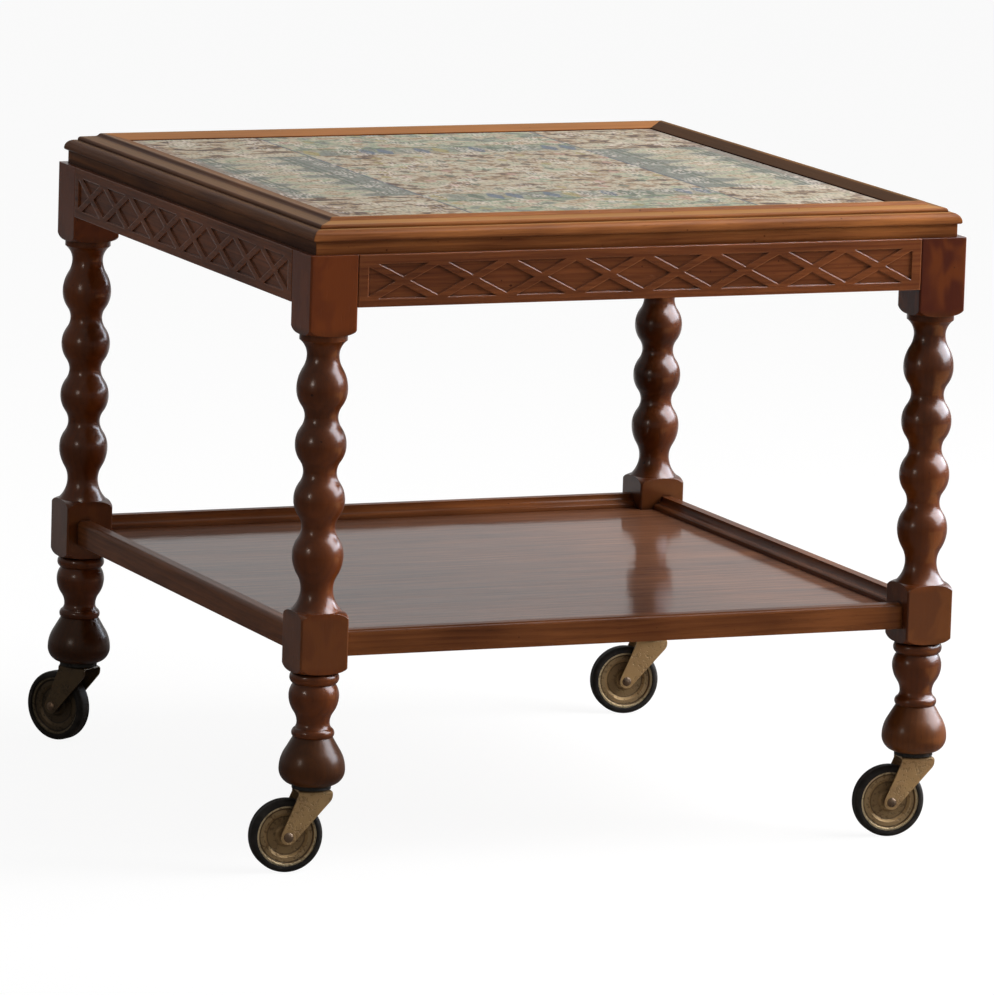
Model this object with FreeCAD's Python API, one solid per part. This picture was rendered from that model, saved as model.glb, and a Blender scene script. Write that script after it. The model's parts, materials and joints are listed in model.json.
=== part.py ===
import FreeCAD, Part
import math
import os

os.makedirs("parts", exist_ok=True)

# Square serving table on casters, in millimetres. The origin is on the floor under the middle of
# the table, +X runs to the right along the front, +Y to the back and +Z up.

# Whole table
LEG_SPACING = 574.0       # from leg axis to leg axis, both ways
NOSING_INSET = 3.5        # from the aprons' outer faces in to the top frame's nosing
OVERRUN = 5.0             # how far a cutting solid runs past what it cuts

# Turned legs, from the seam on the foot up to the top frame
BLOCK_SIDE = 44.0
BLOCK_ARRIS = 1.8         # rounding of a block's upright edges
SHOULDER_HEIGHT = 6.5     # height of the lathe-cut rounding at a block's end
TENON_HOLE_GAP = 0.1      # between a foot's tenon and the leg's hole, at its end
RING_GROOVE_RADIUS = 17.2
LOW_RING_BULGE = 1.4
LOW_RING_HEIGHT = 8.0
LOW_RING_SHARE = 0.42     # how far up its height the low ring is widest
VASE_NECK_RADIUS = 14.3
VASE_NECK_FLARE = 1.6     # from the vase's neck out to the low ring's upper edge
VASE_COVE_HEIGHT = 4.6    # from the low ring up to the vase's neck
VASE_TAPER_HEIGHT = 23.6  # from the neck up to the vase's widest ring
VASE_RADIUS = 21.8
VASE_CROWN_HEIGHT = 10.3
HIGH_GROOVE_DEPTH = 3.4    # from the vase's widest ring in to the groove
HIGH_RING_BULGE = 3.1
HIGH_RING_HEIGHT = 10.8
LOWER_BLOCK_HEIGHT = 53.1
LOWER_COVE_HEIGHT = 18.6
NECK_RADIUS = 14.0
NECK_TO_BOBBIN = 29.3
BOBBIN_RADIUS = 22.2
BOBBIN_VALLEY_RADIUS = 14.5
BOBBIN_PITCH = 47.8
BOBBIN_COUNT = 4
UPPER_COVE_HEIGHT = 13.3
FILLET_RADIUS = 20.8
FILLET_HEIGHT = 5.0
UPPER_BLOCK_HEIGHT = 69.7
BULGE_SHARE = 0.61        # a bulge's part of the two arc radii between bulge and neck
SHOULDER_SHARES = (0.62, 0.36)  # where a shoulder's arc passes, of its spread and height

# Turned feet
FOOT_HEIGHT = 41.5
FOOT_RADIUS = 28.6
FOOT_WIDEST_HEIGHT = 14.3
FOOT_BASE_RADIUS = 18.5
FOOT_TAPER = 5.0          # from the widest ring in to the shoulder
FOOT_SHOULDER_HEIGHT = 30.6
FOOT_TENON_RADIUS = 9.0
FOOT_TENON_HEIGHT = 24.0
FOOT_BELLY_SHARES = (0.80, 0.42)  # where the arc below the widest ring passes
FOOT_SIDE_SHARES = (0.25, 0.50)   # where the arc above it passes

# Top frame, its section measured inward from the nosing's tip and up from its underside
BAND_SETBACK = 3.2
BAND_HEIGHT = 11.4
NOSING_RADIUS = 8.0
NOSING_LIP_RADIUS = 1.7
NOSING_TREAD = 1.6        # the flat behind the nosing
STEP_RISE = 0.9
STEP_RADIUS = 2.6
SLOPE_WIDTH = 9.3
SLOPE_RISE = 1.4
CREST_COVE_WIDTH = 3.0
CREST_COVE_RISE = 2.1
CREST_ROUND_WIDTH = 2.0
CREST_ROUND_RISE = 0.9
CREST_WIDTH = 1.5
BEVEL_WIDTH = 18.0
BEVEL_DROP = 4.0
TEXTILE_SINK = 0.8        # the textile's surface below the bevel's inner edge
LEDGE_WIDTH = 12.0
CREST_COVE_SHARES = (0.62, 0.36)   # where the crest's cove passes, of its width and rise
CREST_ROUND_SHARES = (0.42, 0.72)  # where the crest's round passes

# Top panel and textile
PANEL_THICKNESS = 8.0
TEXTILE_THICKNESS = 1.2
PANEL_GAP = 0.3           # between the wrapped panel and the frame

# Aprons and their carved fret
APRON_HEIGHT = 45.0
APRON_THICKNESS = 18.0
APRON_TENON_THICKNESS = 8.0
APRON_TENON_SETBACK = 6.0  # from the apron's face to its tenon
APRON_TENON_LENGTH = 15.0
APRON_TENON_HEIGHT = 33.0
MORTISE_END_GAP = 0.5
FRET_CROSSINGS = 8
FRET_END_MARGIN = 9.0     # from a leg block to the fret
FRET_LOW_MARGIN = 7.0     # from the apron's lower edge up to the fret
FRET_HIGH_MARGIN = 8.0
FRET_RISE_SHARE = 1.087   # what a strap climbs in one pitch, against the fret's height
STRAP_WIDTH = 6.0
FRET_DEPTH = 1.5

# Blocks and screws that hold the top frame
HOLD_BLOCK_LENGTH = 60.0
HOLD_BLOCK_WIDTH = 20.0
HOLD_BLOCK_HEIGHT = 18.0
SCREW_SPREAD = 36.0
SCREW_RADIUS = 2.0
SCREW_LENGTH = 30.0
SCREW_HEAD_RADIUS = 4.0
SCREW_HEAD_HEIGHT = 2.4

# Tray shelf, its rail's section measured inward from the outer face and up from its underside
RAIL_SETBACK = 10.0       # from a leg block's face to a rail's face
RAIL_LIFT = 13.8          # from a lower block's end to the rails
RAIL_LIP = 3.3            # from the rail's underside up to the shelf's
RAIL_ROUND = 3.8
RAIL_FLAT_WIDTH = 8.2
RAIL_COVE_WIDTH = 4.0
RAIL_COVE_DROP = 6.6
RAIL_BEAD_WIDTH = 4.4
RAIL_BEAD_DROP = 1.9
RAIL_TOE_WIDTH = 0.6
RAIL_TOE_DROP = 3.3       # from the bead's edge down to the shelf
RAIL_COVE_SHARES = (0.22, 0.66)  # where the cove passes, of its width and drop
RAIL_BEAD_SHARES = (0.58, 0.22)  # where the bead passes
RAIL_TENON_THICKNESS = 9.0
RAIL_TENON_LENGTH = 14.0
RAIL_TENON_HEIGHT = 14.0
SHELF_THICKNESS = 7.0
SHELF_TONGUE = 6.0        # how far the shelf runs into the rails' grooves
SHELF_NOTCH_GAP = 0.4     # between the shelf's notched corner and a leg block

# Casters
WHEEL_RADIUS = 32.0
TRAIL = 22.0              # from the swivel's axis to the wheel's axis
HEADROOM = 6.6            # from the wheel's top up to the fork's crown
TYRE_WIDTH = 15.5
TYRE_TREAD_WIDTH = 7.0
TYRE_HEIGHT = 5.3         # from the rim out to the tread
TYRE_SIDE_SHARE = 0.35    # how far up its height the tyre's flat side runs
RIM_FLANGE_HEIGHT = 1.0
RIM_FLANGE_WIDTH = 1.3
RIM_HALF_WIDTH = 5.6
RIM_LIP_WIDTH = 1.9
RIM_SLOPE_WIDTH = 1.3
DISC_RING_WIDTH = 4.0
DISC_RING_HALF_WIDTH = 4.0
DISC_DISH_SLOPE_WIDTH = 2.8
DISC_DISH_HALF_WIDTH = 2.2
DISC_BOSS_WALL = 3.4
DISC_BOSS_HALF_WIDTH = 4.2
HUB_WALL = 1.55
AXLE_RADIUS = 3.0
RUNNING_GAP = 0.05        # radial clearance of what turns
SIDE_GAP = 0.3            # between the hub's ends and the fork
TYRE_SIDE_GAP = 2.8       # between the tyre and the fork
FORK_PLATE = 1.6
FORK_CROWN = 2.0
FORK_BEND_RADIUS = 3.0
FORK_FRONT_REACH = 16.2
FORK_NOSE_RADIUS = 8.5
FORK_NOSE_DROP = 4.5      # from the crown's top down to the middle of the nose's round
FORK_BACK_REACH = 13.8
FORK_BACK_DROP = 4.6      # from the crown's top down to where the back edge turns
FORK_EYE_LIP = 2.3        # round the axle's head
AXLE_HEAD_LIP = 1.3
AXLE_HEAD_HEIGHT = 1.5
STEM_RADIUS = 5.0
STEM_LENGTH = 38.0
STEM_HEAD_LIP = 3.0
STEM_HEAD_HEIGHT = 2.4
SOCKET_WALL = 1.4
SOCKET_LENGTH = 40.0
SOCKET_FLANGE_RADIUS = 17.0
SOCKET_FLANGE = 3.3
SWIVEL_GAP = 0.3          # between the socket's flange and the fork's crown

# The sides in order round the table, and the side that has each corner at its left end
SIDES = ("front", "right", "back", "left")
CORNER_SIDES = {
    "front_left": "front",
    "front_right": "right",
    "back_right": "back",
    "back_left": "left",
}
# Where each caster's wheel trails at rest, from +X
TRAIL_DEGREES = {
    "front_left": 172.8,
    "front_right": 172.0,
    "back_right": 170.0,
    "back_left": 121.6,
}

# The casters' heights above the floor
CROWN_Z = 2 * WHEEL_RADIUS + HEADROOM
CROWN_TOP_Z = CROWN_Z + FORK_CROWN
FLANGE_Z = CROWN_TOP_Z + SWIVEL_GAP
FOOT_Z = FLANGE_Z + SOCKET_FLANGE         # the underside of the feet

# The casters' other sizes that follow
RIM_RADIUS = WHEEL_RADIUS - TYRE_HEIGHT
TYRE_SEAT_RADIUS = RIM_RADIUS - RIM_FLANGE_HEIGHT
HUB_RADIUS = AXLE_RADIUS + RUNNING_GAP + HUB_WALL
AXLE_HEAD_RADIUS = AXLE_RADIUS + AXLE_HEAD_LIP
FORK_EYE_RADIUS = AXLE_HEAD_RADIUS + FORK_EYE_LIP
FORK_INNER_WIDTH = TYRE_WIDTH + 2 * TYRE_SIDE_GAP
FORK_WIDTH = FORK_INNER_WIDTH + 2 * FORK_PLATE
HUB_LENGTH = FORK_INNER_WIDTH - 2 * SIDE_GAP
SOCKET_BORE = STEM_RADIUS + RUNNING_GAP
SOCKET_RADIUS = SOCKET_BORE + SOCKET_WALL

# The legs' radii and heights that follow
LOW_RING_RADIUS = RING_GROOVE_RADIUS + LOW_RING_BULGE
HIGH_GROOVE_RADIUS = VASE_RADIUS - HIGH_GROOVE_DEPTH
HIGH_RING_RADIUS = HIGH_GROOVE_RADIUS + HIGH_RING_BULGE
SEAM_Z = FOOT_Z + FOOT_HEIGHT
LOW_RING_TOP_Z = SEAM_Z + LOW_RING_HEIGHT
VASE_NECK_Z = LOW_RING_TOP_Z + VASE_COVE_HEIGHT
VASE_Z = VASE_NECK_Z + VASE_TAPER_HEIGHT
HIGH_GROOVE_Z = VASE_Z + VASE_CROWN_HEIGHT
LOWER_BLOCK_Z = HIGH_GROOVE_Z + HIGH_RING_HEIGHT
LOWER_BLOCK_TOP_Z = LOWER_BLOCK_Z + LOWER_BLOCK_HEIGHT
LOWER_NECK_Z = LOWER_BLOCK_TOP_Z + LOWER_COVE_HEIGHT
FIRST_BOBBIN_Z = LOWER_NECK_Z + NECK_TO_BOBBIN
LAST_BOBBIN_Z = FIRST_BOBBIN_Z + (BOBBIN_COUNT - 1) * BOBBIN_PITCH
UPPER_NECK_Z = LAST_BOBBIN_Z + NECK_TO_BOBBIN
FILLET_Z = UPPER_NECK_Z + UPPER_COVE_HEIGHT
UPPER_BLOCK_Z = FILLET_Z + FILLET_HEIGHT
FRAME_Z = UPPER_BLOCK_Z + UPPER_BLOCK_HEIGHT
RAIL_Z = LOWER_BLOCK_Z + RAIL_LIFT
SHELF_UNDER_Z = RAIL_Z + RAIL_LIP
SHELF_Z = SHELF_UNDER_Z + SHELF_THICKNESS
RAIL_TOP_Z = SHELF_Z + RAIL_TOE_DROP + RAIL_BEAD_DROP + RAIL_COVE_DROP
APRON_Z = FRAME_Z - APRON_HEIGHT

# Plan sizes that follow
HALF_SPACING = LEG_SPACING / 2
HALF_BLOCK = BLOCK_SIDE / 2
OUTER_FACE = HALF_SPACING + HALF_BLOCK    # the leg blocks' and aprons' outer faces
HALF_TOP = OUTER_FACE - NOSING_INSET
BLOCK_GAP = LEG_SPACING - BLOCK_SIDE      # between two leg blocks
RAIL_FACE = OUTER_FACE - RAIL_SETBACK     # the shelf rails' outer faces
BEAD_END = RAIL_ROUND + RAIL_FLAT_WIDTH + RAIL_COVE_WIDTH + RAIL_BEAD_WIDTH
RAIL_WIDTH = BEAD_END + RAIL_TOE_WIDTH
FRET_PITCH = (BLOCK_GAP - 2 * FRET_END_MARGIN) / FRET_CROSSINGS
FRET_HEIGHT = APRON_HEIGHT - FRET_LOW_MARGIN - FRET_HIGH_MARGIN
STEP_DEPTH = NOSING_RADIUS + NOSING_TREAD
SLOPE_END = STEP_DEPTH + STEP_RADIUS + SLOPE_WIDTH
BEVEL_END = SLOPE_END + CREST_COVE_WIDTH + CREST_ROUND_WIDTH + CREST_WIDTH + BEVEL_WIDTH
FRAME_OPENING = HALF_TOP - BEVEL_END      # from the middle to the frame's inner edge

# The top frame's own heights, above its underside
TIP_HEIGHT = BAND_HEIGHT + NOSING_LIP_RADIUS
NOSING_TOP = TIP_HEIGHT + NOSING_RADIUS
STEP_TOP = NOSING_TOP + STEP_RISE + STEP_RADIUS
SLOPE_TOP = STEP_TOP + SLOPE_RISE
CREST_HEIGHT = SLOPE_TOP + CREST_COVE_RISE + CREST_ROUND_RISE
BEVEL_END_HEIGHT = CREST_HEIGHT - BEVEL_DROP
TEXTILE_HEIGHT = BEVEL_END_HEIGHT - TEXTILE_SINK
LEDGE_HEIGHT = TEXTILE_HEIGHT - TEXTILE_THICKNESS - PANEL_THICKNESS

X_AXIS = FreeCAD.Vector(1, 0, 0)
Y_AXIS = FreeCAD.Vector(0, 1, 0)
Z_AXIS = FreeCAD.Vector(0, 0, 1)
ORIGIN = FreeCAD.Vector(0, 0, 0)


class Outline:
    """A closed outline in the XZ plane, drawn edge by edge."""

    def __init__(self, x, z):
        self.start = self.at = FreeCAD.Vector(x, 0, z)
        self.edges = []

    def line(self, x, z):
        end = FreeCAD.Vector(x, 0, z)
        self.edges.append(Part.LineSegment(self.at, end).toShape())
        self.at = end
        return self

    def arc(self, mid_x, mid_z, x, z):
        end = FreeCAD.Vector(x, 0, z)
        self.edges.append(Part.Arc(self.at, FreeCAD.Vector(mid_x, 0, mid_z), end).toShape())
        self.at = end
        return self

    def quarter(self, centre_x, centre_z, x, z):
        """A quarter round about a centre, from where the outline is to (x, z)."""
        centre = FreeCAD.Vector(centre_x, 0, centre_z)
        end = FreeCAD.Vector(x, 0, z)
        halfway = (self.at - centre) + (end - centre)
        mid = centre + halfway.normalize() * (end - centre).Length
        return self.arc(mid.x, mid.z, x, z)

    def swing(self, centre_x, centre_z, angle):
        """An arc about a centre that turns by an angle from where the outline is."""
        centre = FreeCAD.Vector(centre_x, 0, centre_z)
        arm = self.at - centre
        ends = []
        for turned in (angle / 2, angle):
            ends.append(centre_x + arm.x * math.cos(turned) - arm.z * math.sin(turned))
            ends.append(centre_z + arm.x * math.sin(turned) + arm.z * math.cos(turned))
        return self.arc(*ends)

    def bow(self, x, z, upright_first):
        """One arc to (x, z) that is upright at its start, or else at its end."""
        across = x - self.at.x
        along = z - self.at.z
        radius = (across ** 2 + along ** 2) / (2 * across)
        angle = 2 * math.atan2(across, along)
        if upright_first:
            return self.swing(self.at.x + radius, self.at.z, -angle)
        return self.swing(x - radius, z, angle)

    def ess(self, x, z, first_share):
        """Two tangent arcs, upright at their outer ends; first_share sets the first arc's size."""
        across = x - self.at.x
        along = z - self.at.z
        both = (across ** 2 + along ** 2) / (2 * abs(across))
        half_turn = math.atan2(abs(across), abs(along))
        first, second = both * first_share, both * (1 - first_share)
        toward_x, toward_z = math.copysign(1, across), math.copysign(1, along)
        sag, reach = 1 - math.cos(half_turn), math.sin(half_turn)
        joint_x = self.at.x + across * first_share
        joint_z = self.at.z + along * first_share
        self.arc(
            self.at.x + toward_x * first * sag, self.at.z + toward_z * first * reach,
            joint_x, joint_z,
        )
        return self.arc(
            x - toward_x * second * sag, z - toward_z * second * reach, x, z
        )

    def face(self):
        if (self.at - self.start).Length > 0:
            self.line(self.start.x, self.start.z)
        return Part.Face(Part.Wire(self.edges))

    def turned(self):
        """The solid that the outline makes round the Z axis."""
        return self.face().revolve(ORIGIN, Z_AXIS, 360)


def box(low, high):
    """A box from its lowest to its highest corner."""
    sizes = [b - a for a, b in zip(low, high)]
    return Part.makeBox(*sizes, FreeCAD.Vector(*low))


def cylinder(radius, low_z, high_z, x=0, y=0):
    return Part.makeCylinder(radius, high_z - low_z, FreeCAD.Vector(x, y, low_z))


def prism(points, along):
    """The solid swept by a flat outline of points."""
    return Part.Face(Part.makePolygon(points + points[:1])).extrude(along)


def turn(shape, degrees):
    """A copy turned about the table's middle."""
    turned = shape.copy()
    turned.rotate(ORIGIN, Z_AXIS, degrees)
    return turned


def at_side(shape, side):
    """A copy of what was made for the front, turned to a side."""
    return turn(shape, 360 / len(SIDES) * SIDES.index(side))


def corner_point(corner):
    """Where a leg's axis meets the floor."""
    point = Part.Vertex(-HALF_SPACING, -HALF_SPACING, 0)
    return at_side(point, CORNER_SIDES[corner]).Point


def at_corner(shape, corner):
    """A copy of what was made round the Z axis for the front left leg, set at a corner."""
    placed = at_side(shape, CORNER_SIDES[corner])
    placed.translate(corner_point(corner))
    return placed


def save(shape, node):
    shape.exportStep("parts/" + node + ".step")


def edges_along(shape, axis, above_z=0):
    """The straight edges that run along an axis, those whose middles lie above a height."""
    found = [e for e in shape.Edges if e.CenterOfMass.z > above_z]
    return [e for e in found if abs(e.tangentAt(e.FirstParameter).dot(axis)) > math.cos(math.pi / 4)]


def leg_block(low_z, high_z, shoulder_above):
    """A square block with lathe-cut shoulders below and, if asked, above."""
    wide = HALF_BLOCK * math.sqrt(2) + OVERRUN
    corner = HALF_BLOCK * math.sqrt(2)
    square = box((-HALF_BLOCK, -HALF_BLOCK, low_z), (HALF_BLOCK, HALF_BLOCK, high_z))
    square = square.makeFillet(BLOCK_ARRIS, edges_along(square, Z_AXIS))
    spread = corner - HALF_BLOCK
    bulge_x = HALF_BLOCK + spread * SHOULDER_SHARES[0]
    bulge = SHOULDER_HEIGHT * SHOULDER_SHARES[1]
    barrel = Outline(0, low_z).line(HALF_BLOCK, low_z)
    barrel.arc(bulge_x, low_z + bulge, corner, low_z + SHOULDER_HEIGHT)
    barrel.line(wide, low_z + SHOULDER_HEIGHT + wide - corner)
    if shoulder_above:
        barrel.line(wide, high_z - SHOULDER_HEIGHT - wide + corner)
        barrel.line(corner, high_z - SHOULDER_HEIGHT)
        barrel.arc(bulge_x, high_z - bulge, HALF_BLOCK, high_z)
    else:
        barrel.line(wide, high_z)
    return square.common(barrel.line(0, high_z).turned())


def lower_turning():
    """Low ring, vase and high ring, between the foot's seam and the lower block."""
    line = Outline(0, SEAM_Z).line(RING_GROOVE_RADIUS, SEAM_Z)
    line.arc(
        LOW_RING_RADIUS, SEAM_Z + LOW_RING_HEIGHT * LOW_RING_SHARE,
        VASE_NECK_RADIUS + VASE_NECK_FLARE, LOW_RING_TOP_Z,
    )
    line.bow(VASE_NECK_RADIUS, VASE_NECK_Z, False)
    line.ess(VASE_RADIUS, VASE_Z, 1 - BULGE_SHARE)
    line.bow(HIGH_GROOVE_RADIUS, HIGH_GROOVE_Z, True)
    line.arc(HIGH_RING_RADIUS, HIGH_GROOVE_Z + HIGH_RING_HEIGHT / 2, HIGH_GROOVE_RADIUS, LOWER_BLOCK_Z)
    return line.line(0, LOWER_BLOCK_Z).turned()


def upper_turning():
    """Neck, bobbins, neck and fillet, between the two blocks."""
    line = Outline(0, LOWER_BLOCK_TOP_Z).line(HALF_BLOCK, LOWER_BLOCK_TOP_Z)
    line.bow(NECK_RADIUS, LOWER_NECK_Z, False)
    line.ess(BOBBIN_RADIUS, FIRST_BOBBIN_Z, 1 - BULGE_SHARE)
    for count in range(1, BOBBIN_COUNT):
        bobbin_z = FIRST_BOBBIN_Z + count * BOBBIN_PITCH
        line.ess(BOBBIN_VALLEY_RADIUS, bobbin_z - BOBBIN_PITCH / 2, BULGE_SHARE)
        line.ess(BOBBIN_RADIUS, bobbin_z, 1 - BULGE_SHARE)
    line.ess(NECK_RADIUS, UPPER_NECK_Z, BULGE_SHARE)
    line.bow(FILLET_RADIUS, FILLET_Z, True)
    return line.line(FILLET_RADIUS, UPPER_BLOCK_Z).line(0, UPPER_BLOCK_Z).turned()


def apron_tenon_hole():
    """The mortise in an upper block for the apron on the block's +X side."""
    outer = -HALF_BLOCK + APRON_TENON_SETBACK
    low_z = APRON_Z + (APRON_HEIGHT - APRON_TENON_HEIGHT) / 2
    return box(
        (HALF_BLOCK - APRON_TENON_LENGTH - MORTISE_END_GAP, outer, low_z),
        (HALF_BLOCK + OVERRUN, outer + APRON_TENON_THICKNESS, low_z + APRON_TENON_HEIGHT),
    )


def rail_tenon_hole():
    """The mortise in a lower block for the shelf rail on the block's +X side."""
    middle = -HALF_BLOCK + RAIL_SETBACK + RAIL_WIDTH / 2
    low_z = (RAIL_Z + RAIL_TOP_Z - RAIL_TENON_HEIGHT) / 2
    return box(
        (HALF_BLOCK - RAIL_TENON_LENGTH - MORTISE_END_GAP, middle - RAIL_TENON_THICKNESS / 2, low_z),
        (HALF_BLOCK + OVERRUN, middle + RAIL_TENON_THICKNESS / 2, low_z + RAIL_TENON_HEIGHT),
    )


def other_side(shape):
    """A copy mirrored about the diagonal through a leg, from its +X side to its +Y side."""
    return shape.mirror(ORIGIN, FreeCAD.Vector(1, -1, 0))


def make_leg():
    leg = lower_turning().fuse([
        leg_block(LOWER_BLOCK_Z, LOWER_BLOCK_TOP_Z, True),
        upper_turning(),
        leg_block(UPPER_BLOCK_Z, FRAME_Z, False),
    ])
    holes = [apron_tenon_hole(), rail_tenon_hole()]
    holes += [other_side(hole) for hole in holes]
    hole_top = SEAM_Z + FOOT_TENON_HEIGHT + TENON_HOLE_GAP
    holes.append(cylinder(FOOT_TENON_RADIUS, SEAM_Z - OVERRUN, hole_top))
    return leg.cut(holes).removeSplitter()


def make_foot():
    """A turned bulb with a tenon above and the caster socket's hole below."""
    bulb = Outline(0, FOOT_Z).line(FOOT_BASE_RADIUS, FOOT_Z)
    widest_z = FOOT_Z + FOOT_WIDEST_HEIGHT
    shoulder_z = FOOT_Z + FOOT_SHOULDER_HEIGHT
    bulb.arc(
        FOOT_BASE_RADIUS + (FOOT_RADIUS - FOOT_BASE_RADIUS) * FOOT_BELLY_SHARES[0],
        FOOT_Z + FOOT_WIDEST_HEIGHT * FOOT_BELLY_SHARES[1],
        FOOT_RADIUS, widest_z,
    )
    bulb.arc(
        FOOT_RADIUS - FOOT_TAPER * FOOT_SIDE_SHARES[0],
        widest_z + (shoulder_z - widest_z) * FOOT_SIDE_SHARES[1],
        FOOT_RADIUS - FOOT_TAPER, shoulder_z,
    )
    bulb.line(RING_GROOVE_RADIUS, SEAM_Z).line(FOOT_TENON_RADIUS, SEAM_Z)
    bulb.line(FOOT_TENON_RADIUS, SEAM_Z + FOOT_TENON_HEIGHT).line(0, SEAM_Z + FOOT_TENON_HEIGHT)
    return bulb.turned().cut(cylinder(SOCKET_RADIUS, FOOT_Z - OVERRUN, FOOT_Z + SOCKET_LENGTH))


def top_rail_section():
    """The top frame's section, with x running inward from the nosing's tip."""
    slope_z = FRAME_Z + SLOPE_TOP
    crest_z = FRAME_Z + CREST_HEIGHT
    rail = Outline(BAND_SETBACK, FRAME_Z).line(BAND_SETBACK, FRAME_Z + BAND_HEIGHT)
    rail.line(NOSING_LIP_RADIUS, FRAME_Z + BAND_HEIGHT)
    rail.quarter(NOSING_LIP_RADIUS, FRAME_Z + TIP_HEIGHT, 0, FRAME_Z + TIP_HEIGHT)
    rail.quarter(NOSING_RADIUS, FRAME_Z + TIP_HEIGHT, NOSING_RADIUS, FRAME_Z + NOSING_TOP)
    rail.line(STEP_DEPTH, FRAME_Z + NOSING_TOP).line(STEP_DEPTH, FRAME_Z + NOSING_TOP + STEP_RISE)
    rail.quarter(
        STEP_DEPTH + STEP_RADIUS, FRAME_Z + NOSING_TOP + STEP_RISE,
        STEP_DEPTH + STEP_RADIUS, FRAME_Z + STEP_TOP,
    )
    rail.line(SLOPE_END, slope_z)
    cove_x = SLOPE_END + CREST_COVE_WIDTH
    rail.arc(
        SLOPE_END + CREST_COVE_WIDTH * CREST_COVE_SHARES[0],
        slope_z + CREST_COVE_RISE * CREST_COVE_SHARES[1],
        cove_x, slope_z + CREST_COVE_RISE,
    )
    rail.arc(
        cove_x + CREST_ROUND_WIDTH * CREST_ROUND_SHARES[0],
        slope_z + CREST_COVE_RISE + CREST_ROUND_RISE * CREST_ROUND_SHARES[1],
        cove_x + CREST_ROUND_WIDTH, crest_z,
    )
    rail.line(cove_x + CREST_ROUND_WIDTH + CREST_WIDTH, crest_z)
    rail.line(BEVEL_END, FRAME_Z + BEVEL_END_HEIGHT).line(BEVEL_END, FRAME_Z + LEDGE_HEIGHT)
    rail.line(BEVEL_END + LEDGE_WIDTH, FRAME_Z + LEDGE_HEIGHT).line(BEVEL_END + LEDGE_WIDTH, FRAME_Z)
    return rail.face()


def make_top_rail():
    """The front rail of the top frame, with mitred ends."""
    section = top_rail_section()
    section.rotate(ORIGIN, Z_AXIS, 90)
    section.translate(FreeCAD.Vector(-HALF_TOP, -HALF_TOP, 0))
    rail = section.extrude(X_AXIS * 2 * HALF_TOP)
    inner = HALF_TOP - BEVEL_END - LEDGE_WIDTH - OVERRUN
    low_z = FRAME_Z - OVERRUN
    mitred = prism(
        [
            FreeCAD.Vector(-HALF_TOP, -HALF_TOP, low_z),
            FreeCAD.Vector(HALF_TOP, -HALF_TOP, low_z),
            FreeCAD.Vector(inner, -inner, low_z),
            FreeCAD.Vector(-inner, -inner, low_z),
        ],
        Z_AXIS * (CREST_HEIGHT + 2 * OVERRUN),
    )
    rail = rail.common(mitred)
    return rail.cut([screw(x) for x in screw_places()])


def screw_places():
    return (-SCREW_SPREAD / 2, SCREW_SPREAD / 2)


def screw(x):
    """A wood screw up through a front holding block into the top rail."""
    y = -OUTER_FACE + APRON_THICKNESS + HOLD_BLOCK_WIDTH / 2
    low_z = FRAME_Z - HOLD_BLOCK_HEIGHT
    shank = cylinder(SCREW_RADIUS, low_z, low_z + SCREW_LENGTH, x, y)
    head = Part.makeCone(
        SCREW_HEAD_RADIUS, SCREW_RADIUS, SCREW_HEAD_HEIGHT, FreeCAD.Vector(x, y, low_z)
    )
    return shank.fuse(head).removeSplitter()


def make_hold_block():
    """A block glued behind the front apron, screwed up to the top frame."""
    outer = -OUTER_FACE + APRON_THICKNESS
    block = box(
        (-HOLD_BLOCK_LENGTH / 2, outer, FRAME_Z - HOLD_BLOCK_HEIGHT),
        (HOLD_BLOCK_LENGTH / 2, outer + HOLD_BLOCK_WIDTH, FRAME_Z),
    )
    return block.cut([screw(x) for x in screw_places()])


def make_top_panel():
    side = FRAME_OPENING - PANEL_GAP - TEXTILE_THICKNESS
    low_z = FRAME_Z + LEDGE_HEIGHT
    return box((-side, -side, low_z), (side, side, low_z + PANEL_THICKNESS))


def make_textile():
    """The textile over the panel's top and edges."""
    side = FRAME_OPENING - PANEL_GAP
    low_z = FRAME_Z + LEDGE_HEIGHT
    wrap = box((-side, -side, low_z), (side, side, FRAME_Z + TEXTILE_HEIGHT))
    return wrap.cut(make_top_panel())


def fret_pockets():
    """The sunk triangles and diamonds between the crossing straps of a fret, on the front apron."""
    slope = FRET_HEIGHT * FRET_RISE_SHARE / FRET_PITCH
    half_cross = STRAP_WIDTH / 2 * math.hypot(1, slope)   # half a strap's upright thickness
    middle_z = APRON_Z + FRET_LOW_MARGIN + FRET_HEIGHT / 2
    half_field = FRET_HEIGHT / 2
    half_length = FRET_CROSSINGS * FRET_PITCH / 2
    triangle_reach = (half_field - half_cross) / slope
    diamond_reach = FRET_PITCH / 2 - half_cross / slope
    diamond_rise = diamond_reach * slope
    shapes = []
    for count in range(FRET_CROSSINGS):
        x = -half_length + (count + 1 / 2) * FRET_PITCH
        for way in (-1, 1):
            shapes.append([
                (x, middle_z + way * half_cross),
                (x + triangle_reach, middle_z + way * half_field),
                (x - triangle_reach, middle_z + way * half_field),
            ])
    for count in range(1, FRET_CROSSINGS):
        x = -half_length + count * FRET_PITCH
        shapes.append([
            (x - diamond_reach, middle_z), (x, middle_z - diamond_rise),
            (x + diamond_reach, middle_z), (x, middle_z + diamond_rise),
        ])
    for way in (-1, 1):
        x = way * half_length
        shapes.append([
            (x - way * diamond_reach, middle_z),
            (x, middle_z - diamond_rise),
            (x, middle_z + diamond_rise),
        ])
    face_y = -OUTER_FACE - OVERRUN
    depth = Y_AXIS * (FRET_DEPTH + OVERRUN)
    return [prism([FreeCAD.Vector(x, face_y, z) for x, z in points], depth) for points in shapes]


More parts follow.
